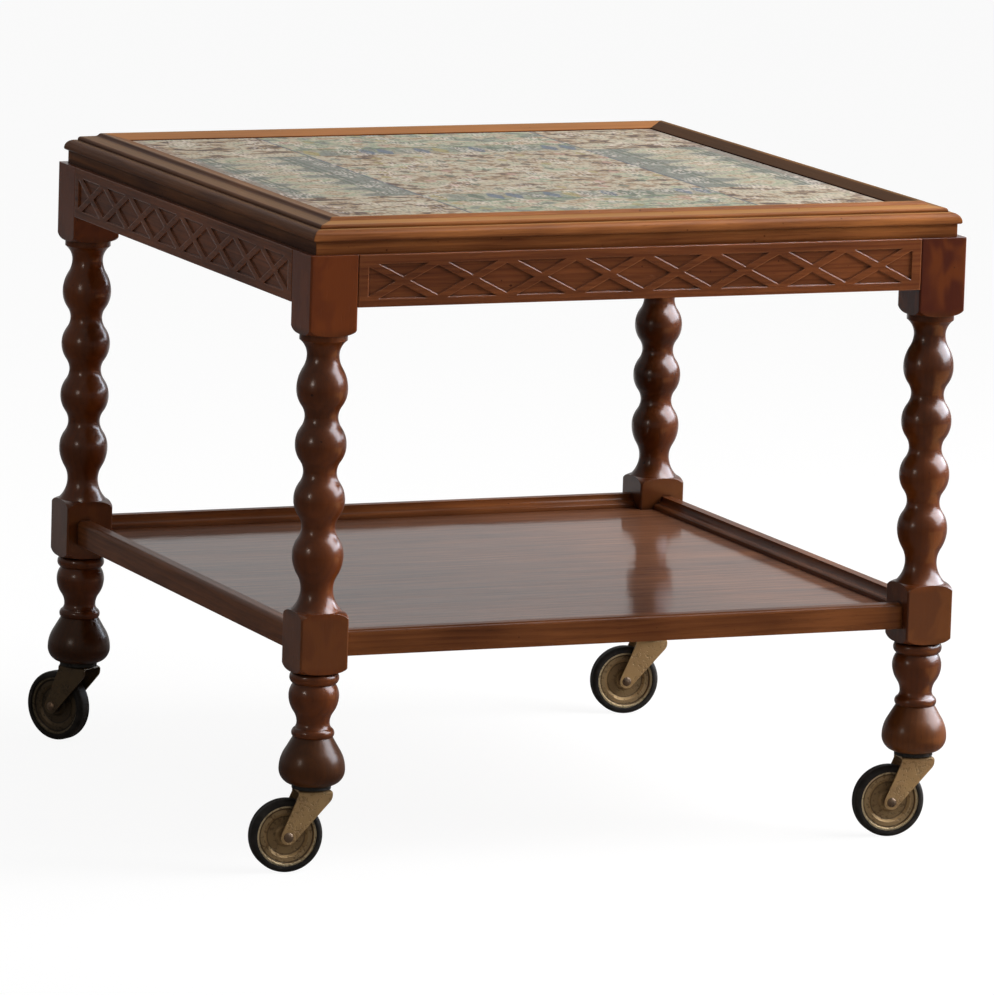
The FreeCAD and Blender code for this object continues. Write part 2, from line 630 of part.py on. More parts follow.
def make_apron():
    """The front apron with its tenons and its carved face."""
    board = box(
        (-BLOCK_GAP / 2, -OUTER_FACE, APRON_Z), (BLOCK_GAP / 2, -OUTER_FACE + APRON_THICKNESS, FRAME_Z)
    )
    outer = -OUTER_FACE + APRON_TENON_SETBACK
    low_z = APRON_Z + (APRON_HEIGHT - APRON_TENON_HEIGHT) / 2
    reach = BLOCK_GAP / 2 + APRON_TENON_LENGTH
    tenons = box(
        (-reach, outer, low_z), (reach, outer + APRON_TENON_THICKNESS, low_z + APRON_TENON_HEIGHT)
    )
    return board.fuse(tenons).removeSplitter().cut(fret_pockets())


def shelf_rail_section():
    """A shelf rail's section, with x running inward from its outer face."""
    flat_x = RAIL_ROUND + RAIL_FLAT_WIDTH
    cove_x = flat_x + RAIL_COVE_WIDTH
    cove_z = RAIL_TOP_Z - RAIL_COVE_DROP
    groove_x = RAIL_WIDTH - SHELF_TONGUE
    rail = Outline(0, RAIL_Z).line(0, RAIL_TOP_Z - RAIL_ROUND)
    rail.quarter(RAIL_ROUND, RAIL_TOP_Z - RAIL_ROUND, RAIL_ROUND, RAIL_TOP_Z)
    rail.line(flat_x, RAIL_TOP_Z)
    rail.arc(
        flat_x + RAIL_COVE_WIDTH * RAIL_COVE_SHARES[0],
        RAIL_TOP_Z - RAIL_COVE_DROP * RAIL_COVE_SHARES[1],
        cove_x, cove_z,
    )
    rail.arc(
        cove_x + RAIL_BEAD_WIDTH * RAIL_BEAD_SHARES[0],
        cove_z - RAIL_BEAD_DROP * RAIL_BEAD_SHARES[1],
        BEAD_END, cove_z - RAIL_BEAD_DROP,
    )
    rail.line(RAIL_WIDTH, SHELF_Z).line(groove_x, SHELF_Z)
    rail.line(groove_x, SHELF_UNDER_Z).line(RAIL_WIDTH, SHELF_UNDER_Z)
    return rail.line(RAIL_WIDTH, RAIL_Z).face()


def make_shelf_rail():
    """The front rail of the tray shelf, with its tenons."""
    section = shelf_rail_section()
    section.rotate(ORIGIN, Z_AXIS, 90)
    section.translate(FreeCAD.Vector(-BLOCK_GAP / 2, -RAIL_FACE, 0))
    rail = section.extrude(X_AXIS * BLOCK_GAP)
    middle = -RAIL_FACE + RAIL_WIDTH / 2
    low_z = (RAIL_Z + RAIL_TOP_Z - RAIL_TENON_HEIGHT) / 2
    for way in (-1, 1):
        ends = sorted((way * BLOCK_GAP / 2, way * (BLOCK_GAP / 2 + RAIL_TENON_LENGTH)))
        rail = rail.fuse(box(
            (ends[0], middle - RAIL_TENON_THICKNESS / 2, low_z),
            (ends[1], middle + RAIL_TENON_THICKNESS / 2, low_z + RAIL_TENON_HEIGHT),
        ))
    return rail.removeSplitter()


def make_shelf_panel():
    """The shelf's panel, notched round the four leg blocks."""
    reach = RAIL_FACE - RAIL_WIDTH + SHELF_TONGUE
    panel = box((-reach, -reach, SHELF_UNDER_Z), (reach, reach, SHELF_Z))
    notch = HALF_SPACING - HALF_BLOCK - SHELF_NOTCH_GAP
    far = reach + OVERRUN
    corner = box((notch, notch, SHELF_UNDER_Z - OVERRUN), (far, far, SHELF_Z + OVERRUN))
    return panel.cut([at_side(corner, side) for side in SIDES])


def make_socket():
    """The steel sleeve in the foot, with its bearing flange below."""
    sleeve = cylinder(SOCKET_RADIUS, FOOT_Z, FOOT_Z + SOCKET_LENGTH)
    flange = cylinder(SOCKET_FLANGE_RADIUS, FLANGE_Z, FOOT_Z)
    hole = cylinder(SOCKET_BORE, FLANGE_Z - OVERRUN, FOOT_Z + SOCKET_LENGTH + OVERRUN)
    return sleeve.fuse(flange).cut(hole).removeSplitter()


def make_stem():
    """The swivel stem, riveted below the fork's crown."""
    shank = cylinder(STEM_RADIUS, CROWN_Z, CROWN_TOP_Z + STEM_LENGTH)
    head = cylinder(STEM_RADIUS + STEM_HEAD_LIP, CROWN_Z - STEM_HEAD_HEIGHT, CROWN_Z)
    return shank.fuse(head).removeSplitter()


def fork_outline():
    """The fork seen from its side, with x running the way the wheel trails."""
    nose_x = FORK_NOSE_RADIUS - FORK_FRONT_REACH
    nose_z = CROWN_TOP_Z - FORK_NOSE_DROP
    turn_z = CROWN_TOP_Z - FORK_BACK_DROP
    # The lower edge touches the nose's round and the eye, at this angle round both
    nose_to_eye = math.hypot(TRAIL - nose_x, nose_z - WHEEL_RADIUS)
    fall = math.atan2(nose_z - WHEEL_RADIUS, TRAIL - nose_x)
    low_angle = math.asin((FORK_NOSE_RADIUS - FORK_EYE_RADIUS) / nose_to_eye) - fall - math.pi / 2
    # The back edge touches the eye at this angle
    turn_to_eye = math.hypot(TRAIL - FORK_BACK_REACH, turn_z - WHEEL_RADIUS)
    back_angle = math.atan2(turn_z - WHEEL_RADIUS, FORK_BACK_REACH - TRAIL)
    back_angle -= math.acos(FORK_EYE_RADIUS / turn_to_eye)
    side = Outline(FORK_BACK_REACH, CROWN_TOP_Z)
    side.line(-FORK_FRONT_REACH + FORK_BEND_RADIUS, CROWN_TOP_Z)
    side.quarter(
        -FORK_FRONT_REACH + FORK_BEND_RADIUS, CROWN_TOP_Z - FORK_BEND_RADIUS,
        -FORK_FRONT_REACH, CROWN_TOP_Z - FORK_BEND_RADIUS,
    )
    side.line(-FORK_FRONT_REACH, nose_z).swing(nose_x, nose_z, math.pi + low_angle)
    side.line(
        TRAIL + FORK_EYE_RADIUS * math.cos(low_angle),
        WHEEL_RADIUS + FORK_EYE_RADIUS * math.sin(low_angle),
    )
    side.swing(TRAIL, WHEEL_RADIUS, back_angle - low_angle)
    return side.line(FORK_BACK_REACH, turn_z).face()


def make_fork():
    """The stamped fork: two side plates bent down from one crown."""
    side = fork_outline()
    side.translate(Y_AXIS * (-FORK_WIDTH / 2))
    blank = side.extrude(Y_AXIS * FORK_WIDTH)
    reach = TRAIL + FORK_EYE_RADIUS + FORK_FRONT_REACH + 2 * OVERRUN
    start_x = -FORK_FRONT_REACH - OVERRUN
    bends = box((start_x, -FORK_WIDTH / 2, 0), (start_x + reach, FORK_WIDTH / 2, CROWN_TOP_Z))
    blank = blank.common(bends.makeFillet(FORK_BEND_RADIUS, edges_along(bends, X_AXIS, CROWN_Z)))
    between = box(
        (start_x, -FORK_INNER_WIDTH / 2, 0), (start_x + reach, FORK_INNER_WIDTH / 2, CROWN_Z)
    )
    inner_radius = FORK_BEND_RADIUS - FORK_PLATE
    between = between.makeFillet(inner_radius, edges_along(between, X_AXIS, CROWN_Z - OVERRUN))
    stem_hole = cylinder(STEM_RADIUS, CROWN_Z - OVERRUN, CROWN_TOP_Z + OVERRUN)
    return blank.cut([between, stem_hole, axle_rod(FORK_WIDTH + 2 * OVERRUN, AXLE_RADIUS)])


def axle_rod(length, radius):
    """A rod along the wheel's axis."""
    return Part.makeCylinder(
        radius, length, FreeCAD.Vector(TRAIL, -length / 2, WHEEL_RADIUS), Y_AXIS
    )


def make_axle():
    """The axle, a rivet with a round head on each side of the fork."""
    axle = axle_rod(FORK_WIDTH, AXLE_RADIUS)
    ball = (AXLE_HEAD_RADIUS ** 2 + AXLE_HEAD_HEIGHT ** 2) / (2 * AXLE_HEAD_HEIGHT)
    for way in (-1, 1):
        centre_y = way * (FORK_WIDTH / 2 + AXLE_HEAD_HEIGHT - ball)
        dome = Part.makeSphere(ball, FreeCAD.Vector(TRAIL, centre_y, WHEEL_RADIUS))
        ends = sorted((way * FORK_WIDTH / 2, way * (FORK_WIDTH / 2 + AXLE_HEAD_HEIGHT)))
        slab = box(
            (TRAIL - ball, ends[0], WHEEL_RADIUS - ball),
            (TRAIL + ball, ends[1], WHEEL_RADIUS + ball),
        )
        axle = axle.fuse(dome.common(slab))
    return axle.removeSplitter()


def on_axle(shape):
    """A copy of what was turned round the Z axis, set on the wheel's axis."""
    placed = shape.copy()
    placed.rotate(ORIGIN, X_AXIS, 90)
    placed.translate(FreeCAD.Vector(TRAIL, 0, WHEEL_RADIUS))
    return placed


def make_wheel_disc():
    """The pressed disc wheel with its rim, dished ring and boss, the same on both sides."""
    boss_radius = HUB_RADIUS + DISC_BOSS_WALL
    lip_radius = RIM_RADIUS - RIM_LIP_WIDTH
    slope_radius = lip_radius - RIM_SLOPE_WIDTH
    ring_radius = slope_radius - DISC_RING_WIDTH
    half = [
        (boss_radius, DISC_BOSS_HALF_WIDTH),
        (boss_radius + DISC_BOSS_HALF_WIDTH - DISC_DISH_HALF_WIDTH, DISC_DISH_HALF_WIDTH),
        (ring_radius - DISC_DISH_SLOPE_WIDTH, DISC_DISH_HALF_WIDTH),
        (ring_radius, DISC_RING_HALF_WIDTH),
        (slope_radius, DISC_RING_HALF_WIDTH),
        (lip_radius, RIM_HALF_WIDTH),
        (RIM_RADIUS, RIM_HALF_WIDTH),
        (RIM_RADIUS, RIM_HALF_WIDTH - RIM_FLANGE_WIDTH),
        (TYRE_SEAT_RADIUS, RIM_HALF_WIDTH - RIM_FLANGE_WIDTH),
    ]
    disc = Outline(HUB_RADIUS, DISC_BOSS_HALF_WIDTH)
    for radius, height in half:
        disc.line(radius, height)
    for radius, height in reversed(half):
        disc.line(radius, -height)
    return on_axle(disc.line(HUB_RADIUS, -DISC_BOSS_HALF_WIDTH).turned())


def make_tyre():
    """The rubber tyre, with rounded shoulders, held between the rim's flanges."""
    seat = RIM_HALF_WIDTH - RIM_FLANGE_WIDTH
    side_radius = RIM_RADIUS + TYRE_HEIGHT * TYRE_SIDE_SHARE
    half_tread = TYRE_TREAD_WIDTH / 2
    half_width = TYRE_WIDTH / 2
    tyre = Outline(TYRE_SEAT_RADIUS, -seat).line(RIM_RADIUS, -seat).line(RIM_RADIUS, -half_width)
    tyre.line(side_radius, -half_width).bow(WHEEL_RADIUS, -half_tread, False)
    tyre.line(WHEEL_RADIUS, half_tread).bow(side_radius, half_width, True)
    tyre.line(RIM_RADIUS, half_width).line(RIM_RADIUS, seat).line(TYRE_SEAT_RADIUS, seat)
    return on_axle(tyre.turned())


def make_hub():
    """The tube that the wheel disc is pressed on, turning on the axle."""
    tube = cylinder(HUB_RADIUS, -HUB_LENGTH / 2, HUB_LENGTH / 2)
    hole = cylinder(AXLE_RADIUS + RUNNING_GAP, -HUB_LENGTH, HUB_LENGTH)
    return on_axle(tube.cut(hole))


def at_caster(shape, corner):
    """A copy of a caster's piece, turned to where the wheel trails and set under its leg."""
    placed = turn(shape, TRAIL_DEGREES[corner])
    placed.translate(corner_point(corner))
    return placed


leg = make_leg()
foot = make_foot()
socket = make_socket()
caster = {
    "caster_stem": make_stem(),
    "caster_fork": make_fork(),
    "caster_axle": make_axle(),
    "caster_wheel": make_wheel_disc(),
    "caster_tyre": make_tyre(),
    "caster_hub": make_hub(),
}
for corner in CORNER_SIDES:
    save(at_corner(leg, corner), "leg_" + corner)
    save(at_corner(foot, corner), "foot_" + corner)
    save(at_corner(socket, corner), "caster_socket_" + corner)
    for name, shape in caster.items():
        save(at_caster(shape, corner), name + "_" + corner)

top_rail = make_top_rail()
apron = make_apron()
hold_block = make_hold_block()
shelf_rail = make_shelf_rail()
for side in SIDES:
    save(at_side(top_rail, side), "top_rail_" + side)
    save(at_side(apron, side), "apron_" + side)
    save(at_side(hold_block, side), "hold_block_" + side)
    save(at_side(shelf_rail, side), "shelf_rail_" + side)
screws = [at_side(screw(x), side) for side in SIDES for x in screw_places()]
save(Part.Compound(screws), "wood_screws")
save(make_top_panel(), "top_panel")
save(make_textile(), "top_textile")
save(make_shelf_panel(), "shelf_panel")
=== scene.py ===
import json
import math

import bmesh
import bpy
from mathutils import Matrix, Vector, noise


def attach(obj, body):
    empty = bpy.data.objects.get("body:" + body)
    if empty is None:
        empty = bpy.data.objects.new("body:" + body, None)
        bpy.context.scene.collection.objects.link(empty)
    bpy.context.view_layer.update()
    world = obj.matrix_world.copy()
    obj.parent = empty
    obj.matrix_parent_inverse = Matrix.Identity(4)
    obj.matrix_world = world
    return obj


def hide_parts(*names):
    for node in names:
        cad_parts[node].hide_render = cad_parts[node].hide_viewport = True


# A square serving table on casters, dressed for the photograph's view. Lengths are in metres.

# Camera, recovered from the straight edges and the turned rings in the photograph. Angles are in degrees.
CAMERA_AZIMUTH = -23.4414
CAMERA_ELEVATION = 9.6637
CAMERA_ROLL = 1.7848
CAMERA_DISTANCE = 7.6197
CAMERA_LENS_MM = 306.91
SENSOR_MM = 36.0
CAMERA_REACH = 100.0
AIM_HEIGHT = 0.2217
AIM_RIGHT = 0.00383
AIM_UP = 0.04346

# Studio: how bright the world is for bounced light, and what the camera and gloss see of floor and backdrop
AMBIENT = 0.25
SEEN_FLOOR_GLOW = 0.92
SEEN_FLOOR_COLOUR = 0.12
FLOOR_COLOUR = 0.70
FLOOR_SIZE = 60.0
DIM_SHARE = 0.10                 # how bright gloss shows the studio away from the backdrop
BACKDROP = (0.397, 0.918)        # the direction in which the white backdrop stands, seen from the table
BACKDROP_SPREAD = (0.62, 0.96)   # the cosine from that direction at which it begins and is full
BACKDROP_BAND = (0.09, 0.225)    # the sines of the elevations between which it lies
BACKDROP_SOFTNESS = 0.03
BACKDROP_SHARE = 0.85
BANK_START = (0.34, 0.42)        # the sine of the elevation at which the bank of light begins and is full
FLOOR_PATCH = (1.2, 2.8)         # the middle of the bright floor in front of the backdrop
FLOOR_PATCH_EDGE = (1.1, 2.7)    # the distance from its middle at which it starts to fade and ends

# Lamps: a diffuse key, a weak warm one low on the right, and lamps that only gloss shows. The strongest of
# those reach only what stands upright, so that they don't wash out the shelf and the rails.
WHITE = (1.0, 1.0, 1.0)
TABLE_MIDDLE = (0.0, 0.0, 0.3)
UPRIGHTS = ("leg_", "foot_", "apron_", "caster_")
LAMPS = (
    dict(name="key", place=(1.9, -0.7, 1.65), width=1.5, height=1.9, power=80.0),
    dict(name="glow", place=(2.2, -0.2, 0.12), width=0.8, height=0.5, power=14.0, colour=(1.0, 0.62, 0.32)),
    dict(name="bounce", place=(1.2, -0.9, 0.03), aim=(1.2, -0.9, 1.0), width=1.6, height=1.2, power=11.0,
         colour=(1.0, 0.44, 0.13), lights="gloss", only=UPRIGHTS),
    dict(name="window", place=(2.1, -0.35, 1.95), width=3.3, height=2.8, power=480.0,
         colour=(0.74, 0.86, 1.0), lights="gloss", only=UPRIGHTS),
    dict(name="skylight", place=(1.3, -0.6, 2.6), width=1.6, height=1.2, power=40.0,
         colour=(0.86, 0.93, 1.0), lights="gloss"),
    dict(name="overhead", place=(-0.75, -0.2, 2.7), width=0.30, height=0.30, power=8.0,
         colour=(1.0, 0.95, 0.88), lights="gloss"),
    dict(name="bracket", place=(-2.2, -1.1, 0.9), width=0.30, height=0.30, power=6.0,
         colour=(1.0, 0.95, 0.88), lights="gloss"),
)

# Stains of the wood: the dark and the light colour
LEG_STAIN = ((0.022, 0.0045, 0.0012), (0.180, 0.040, 0.0052))
FOOT_STAIN = ((0.012, 0.0035, 0.0012), (0.110, 0.031, 0.0062))
TOP_STAIN = ((0.13, 0.038, 0.014), (0.47, 0.170, 0.050))
# Upward faces of the top rails turn towards this colour, a painted light from above
TOP_PAINTED_LIGHT = (0.62, 0.32, 0.095)
APRON_STAIN = ((0.058, 0.013, 0.004), (0.28, 0.080, 0.022))
RAIL_STAIN = ((0.060, 0.015, 0.0045), (0.26, 0.085, 0.025))
SHELF_STAIN = ((0.080, 0.027, 0.013), (0.240, 0.093, 0.040))
RAW_WOOD = ((0.30, 0.20, 0.11), (0.52, 0.38, 0.22))

# Grain of the wood: waves per metre across it and along it
RIPPLES = (22.0, 3.0)
FIBRES = (700.0, 22.0)
STREAKS = (150.0, 6.0)
PORES = (1500.0, 90.0)
CLOUDS = (20.0, 8.0)
BLOTCHES = (30.0, 22.0)
SWAYS_PER_METRE = 2.2
RINGS_PER_METRE = 190.0
NICKS_PER_METRE = 230.0
PITH = (0.11, 0.07)      # how far outside a piece the growth rings have their middle

# Where features of the wood begin and are full, as values of the noise or the field that draws them
LATE_WOOD = (0.2, 0.9)
EARLY_WOOD = (0.9, 1.0)
PORE_STEP = (0.64, 0.74)
NICK_STEP = (0.765, 0.80)
UPWARD_STEP = (0.93, 0.975)
# Where the painted shade in corners begins and is full
CORNER_SHADE_STEP = (0.35, 0.95)
WORN_STEP = (0.03, 0.20)
BLOCK_SOFTNESS = 0.004
BEVEL_SOFTNESS = 0.0005

# The legs' square blocks: from and to which height, and their pale and deep stain
LEG_BLOCKS = (
    (0.179, 0.224, (0.150, 0.042, 0.009), (0.060, 0.014, 0.004)),
    (0.471, 0.541, (0.200, 0.041, 0.006), (0.060, 0.007, 0.003)),
)

# At each corner: the painted light (above 1) and painted shade (below 1) on the leg's and the foot's stain,
# how blotchy the leg's blocks are, and how much painted shade darkens the caster's plating
CORNERS = {
    "front_left": dict(leg=1.0, foot=0.95, blotches=0.35, caster_shade=1.0),
    "front_right": dict(leg=0.72, foot=1.6, blotches=1.0, caster_shade=1.0),
    "back_right": dict(leg=0.60, foot=1.2, blotches=0.35, caster_shade=0.9),
    "back_left": dict(leg=0.88, foot=0.65, blotches=0.35, caster_shade=0.22),
}

# On each side: how much painted shade darkens the top rail's stain, how much colour painted shade leaves on
# its bevel beside the textile, and how much its varnish still shines
SIDES = {
    "front": dict(stain=1.0, bevel=1.0, coat=0.14, level=0.06),
    "right": dict(stain=0.5, bevel=0.34, coat=0.05, level=0.02),
    "back": dict(stain=0.85, bevel=1.0, coat=0.14, level=0.06),
    "left": dict(stain=0.5, bevel=0.8, coat=0.14, level=0.06),
}
BEVEL_EDGE = 0.2755      # how far from the table's middle the bevel ends

# Metals: the clean and the tarnished colour
FORK_METAL = ((0.44, 0.27, 0.115), (0.27, 0.155, 0.066))
DISC_METAL = ((0.38, 0.23, 0.095), (0.20, 0.115, 0.048))
RIVET_METAL = ((0.17, 0.105, 0.062), (0.055, 0.032, 0.018))
# The socket's steel, nearly black, partly painted shade for the dark band under each foot
SOCKET_METAL_IN_SHADE = ((0.020, 0.016, 0.012), (0.010, 0.008, 0.006))
SCREW_METAL = ((0.4, 0.4, 0.4), (0.2, 0.2, 0.2))
CLOUDS_PER_METRE = 70.0
SPECKS_PER_METRE = 380.0
SPOT_STEP = (0.54, 0.64)

# Rings on the wheels' discs, with a painted highlight on the lip and painted shade in the groove and at the
# dish's edge: from and to which radius, colour, strength
WHEEL_RINGS_WITH_PAINTED_LIGHT = (
    (0.0246, 0.0275, (0.72, 0.55, 0.32), 0.85),
    (0.0229, 0.0240, (0.020, 0.012, 0.006), 0.85),
    (0.0192, 0.0229, (0.30, 0.20, 0.10), 0.5),
    (0.0160, 0.0172, (0.035, 0.022, 0.010), 0.7),
    (0.0080, 0.0160, (0.13, 0.080, 0.036), 0.5),
)
RING_SOFTNESS = 0.0004

# Rubber of the tyres, clean and dusty
RUBBER = (0.013, 0.010, 0.008)
DUST = (0.032, 0.026, 0.021)
DUST_PER_METRE = 90.0

# Threads of the textile
CREAM = (0.63, 0.555, 0.42)
BROWN = (0.15, 0.10, 0.075)
TAN = (0.50, 0.355, 0.225)
MOSS = (0.41, 0.46, 0.31)
TEAL = (0.15, 0.19, 0.145)
SLATE = (0.28, 0.29, 0.25)
BLUE = (0.15, 0.19, 0.27)
DEEP_BLUE = tuple(0.7 * c for c in BLUE)
ROSE = (0.58, 0.35, 0.29)
MUSTARD = (0.47, 0.38, 0.16)
GREEN = (0.16, 0.24, 0.14)
RUSSET = (0.42, 0.31, 0.25)
CHALK = (0.86, 0.76, 0.68)

# Layout of the textile, from its middle out
SIDE_FIELD = 0.1370      # where the side fields begin
END_FIELD = 0.1300       # where the end fields begin
FIELD_SOFTNESS = 0.0005
BORDER = 0.2480          # where the outermost threads begin
STRIPES = (              # from, to, thread, strength
    (0.1345, 0.1375, DEEP_BLUE, 0.8),
    (0.1375, 0.1580, SLATE, 0.5),
    (0.1580, 0.1610, TEAL, 0.65),
    (0.1650, 0.1690, TEAL, 0.65),
    (0.2330, 0.2365, TEAL, 0.65),
    (0.2395, 0.2430, TEAL, 0.65),
)
MIDDLE_DIAMONDS = (0.020, 0.030, (BROWN, CREAM, SLATE, TEAL, MUSTARD, ROSE, CREAM, TAN))
END_DIAMONDS = (0.024, 0.034, (CREAM, MUSTARD, ROSE, TEAL, CREAM, TAN))
OVAL_PITCH = 0.042
OVAL_MIDDLE = 0.205
OVAL_HALF_WIDTH = 0.030
DAB_PITCH = 0.018
DAB_MIDDLE = 0.148
DAB_HALF = (0.0075, 0.024)       # half a dab's width and length
DAB_ROW = (0.130, 0.167)         # from and to which distance from the middle
GREEN_LINE = (0.168, 0.173)

# Weave of the textile: waves per metre both ways, and the size of a thread's visible stitch
PATCHES = (40.0, 72.0)
WASHES = (24.0, 40.0)
FLECKS = (110.0, 90.0)
SCROLLS = (30.0, 54.0)
TUFTS = (30.0, 24.0)
STITCH = (0.0016, 0.0045)
WEAVE = 4600.0           # radians per metre

# The textile's sheet, stretched over the panel and turned down round its edges
CLOTH_HALF = 0.25905
CLOTH_TOP = 0.56082
CLOTH_LOW = 0.5518
CLOTH_THICKNESS = 0.0009
CLOTH_ROUND = 0.0009
CLOTH_CELLS = 190
CLOTH_WAVE = 0.00010     # how much its surface rises and falls
CLOTH_WAVES = ((17.0, 1.0), (55.0, 0.5))    # waves per metre, and their shares
CLOTH_TURNS = (30.0, 60.0, 90.0)            # the angles through which its edge is drawn


class Field:
    """A number or colour that varies over a surface, in one material's node tree."""

    def __init__(self, graph, socket):
        self.graph = graph
        self.socket = socket

    def __add__(self, other):
        return self.graph.math("ADD", self, other)

    def __radd__(self, other):
        return self.graph.math("ADD", other, self)

    def __sub__(self, other):
        return self.graph.math("SUBTRACT", self, other)

    def __rsub__(self, other):
        return self.graph.math("SUBTRACT", other, self)

    def __mul__(self, other):
        return self.graph.math("MULTIPLY", self, other)

    def __truediv__(self, other):
        return self.graph.math("DIVIDE", self, other)


class Graph:
    """A node tree, built up by fields."""

    def __init__(self, tree):
        self.tree = tree
        tree.nodes.clear()

    def node(self, kind, **settings):
        made = self.tree.nodes.new("ShaderNode" + kind)
        for key, value in settings.items():
            setattr(made, key, value)
        return made

    def end(self, kind, source):
        """Links a node to a new output node of a kind."""
        output = self.node(kind)
        self.tree.links.new(source.outputs[0], output.inputs[0])

    def feed(self, socket, value):
        """Links a field to a socket, or sets a plain value on it."""
        if isinstance(value, Field):
            self.tree.links.new(value.socket, socket)
        elif isinstance(value, tuple) and len(value) == 3 and socket.type == "RGBA":
            socket.default_value = (*value, 1.0)
        else:
            socket.default_value = value

    def set(self, node, **values):
        """Sets a node's inputs; underscores in a name stand for spaces."""
        for key, value in values.items():
            self.feed(node.inputs[key.replace("_", " ")], value)

    def split(self, socket):
        """The three parts of a vector."""
        made = self.node("SeparateXYZ")
        self.tree.links.new(socket, made.inputs[0])
        return [Field(self, part) for part in made.outputs]

    def position(self):
        """The three coordinates of a point on the piece, in the table's frame."""
        return self.split(self.node("TexCoord").outputs["Object"])

    def vector(self, x, y, z):
        made = self.node("CombineXYZ")
        for socket, value in zip(made.inputs, (x, y, z)):
            self.feed(socket, value)
        return Field(self, made.outputs[0])

    def math(self, operation, *values):
        made = self.node("Math", operation=operation)
        for socket, value in zip(made.inputs, values):
            self.feed(socket, value)
        return Field(self, made.outputs[0])

    def size(self, value):
        """A number without its sign."""
        return self.math("ABSOLUTE", value)

    def length(self, first, second):
        """The length of a flat vector."""
        return self.math("SQRT", first * first + second * second)

    def away(self, value, pitch):
        """The distance to the nearest multiple of a pitch."""
        return self.math("PINGPONG", value, pitch / 2)

    def cell(self, value, pitch):
        """The number of the cell that a value lies in."""
        return self.math("FLOOR", value / pitch)

    def step(self, value, low, high):
        """0 below low, 1 above high, smooth between."""
        made = self.node("MapRange", interpolation_type="SMOOTHSTEP")
        self.set(made, Value=value, From_Min=low, From_Max=high)
        return Field(self, made.outputs[0])

    def beyond(self, value, edge, soft):
        """1 above an edge, 0 below."""
        return self.step(value, edge - soft, edge + soft)

    def band(self, value, low, high, soft=0.0006):
        """1 between low and high, 0 outside."""
        return self.beyond(value, low, soft) * (1.0 - self.beyond(value, high, soft))

    def noise(self, vector, scale=1.0, detail=2.0, roughness=0.5, distortion=0.0):
        made = self.node("TexNoise")
        self.set(made, Vector=vector, Scale=scale, Detail=detail, Roughness=roughness, Distortion=distortion)
        return Field(self, made.outputs[0])

    def chance(self, vector):
        """A random number from 0 to 1 for each value of a vector."""
        made = self.node("TexWhiteNoise")
        self.feed(made.inputs["Vector"], vector)
        return Field(self, made.outputs["Value"])

    def mix(self, factor, first, second, how="MIX"):
        """A colour between two colours."""
        made = self.node("Mix", data_type="RGBA", blend_type=how)
        self.feed(made.inputs["Factor"], factor)
        self.feed(made.inputs[6], first)
        self.feed(made.inputs[7], second)
        return Field(self, made.outputs[2])

    def ramp(self, factor, stops, blend="LINEAR"):
        """A colour from a list of (place, colour)."""
        made = self.node("ValToRGB")
        made.color_ramp.interpolation = blend
        elements = made.color_ramp.elements
        while len(elements) < len(stops):
            elements.new(0.5)
        for element, (place, colour) in zip(elements, stops):
            element.position = place
            element.color = (*colour, 1.0)
        self.feed(made.inputs[0], factor)
        return Field(self, made.outputs[0])

    def upward(self):
        """1 on faces that look up, 0 on upright ones."""
        return self.split(self.node("NewGeometry").outputs["Normal"])[2]

    def nearness(self, distance):
        """1 in the open, less where other surfaces are near."""
        made = self.node("AmbientOcclusion", samples=6)
        self.set(made, Distance=distance)
        return Field(self, made.outputs["AO"])

    def rounded(self, radius):
        """The normal with the mesh's sharp edges rounded off."""
        made = self.node("Bevel", samples=6)
        self.set(made, Radius=radius)
        return Field(self, made.outputs[0])

    def edges(self, rounded):
        """1 on worn edges, 0 on flat surfaces."""
        geometry = self.node("NewGeometry")
        made = self.node("VectorMath", operation="DOT_PRODUCT")
        self.feed(made.inputs[0], rounded)
        self.tree.links.new(geometry.outputs["Normal"], made.inputs[1])
        return 1.0 - Field(self, made.outputs["Value"])

    def bump(self, height, distance, normal=None):
        made = self.node("Bump")
        self.set(made, Distance=distance, Height=height)
        if normal is not None:
            self.set(made, Normal=normal)
        return Field(self, made.outputs[0])


def painted(name):
    """A new material, as a graph with one Principled shader."""
    material = bpy.data.materials.new(name)
    material.use_nodes = True
    graph = Graph(material.node_tree)
    graph.material = material
    graph.shader = graph.node("BsdfPrincipled")
    graph.end("OutputMaterial", graph.shader)
    return graph


def darker(colour, share):
    return tuple(c * share for c in colour)


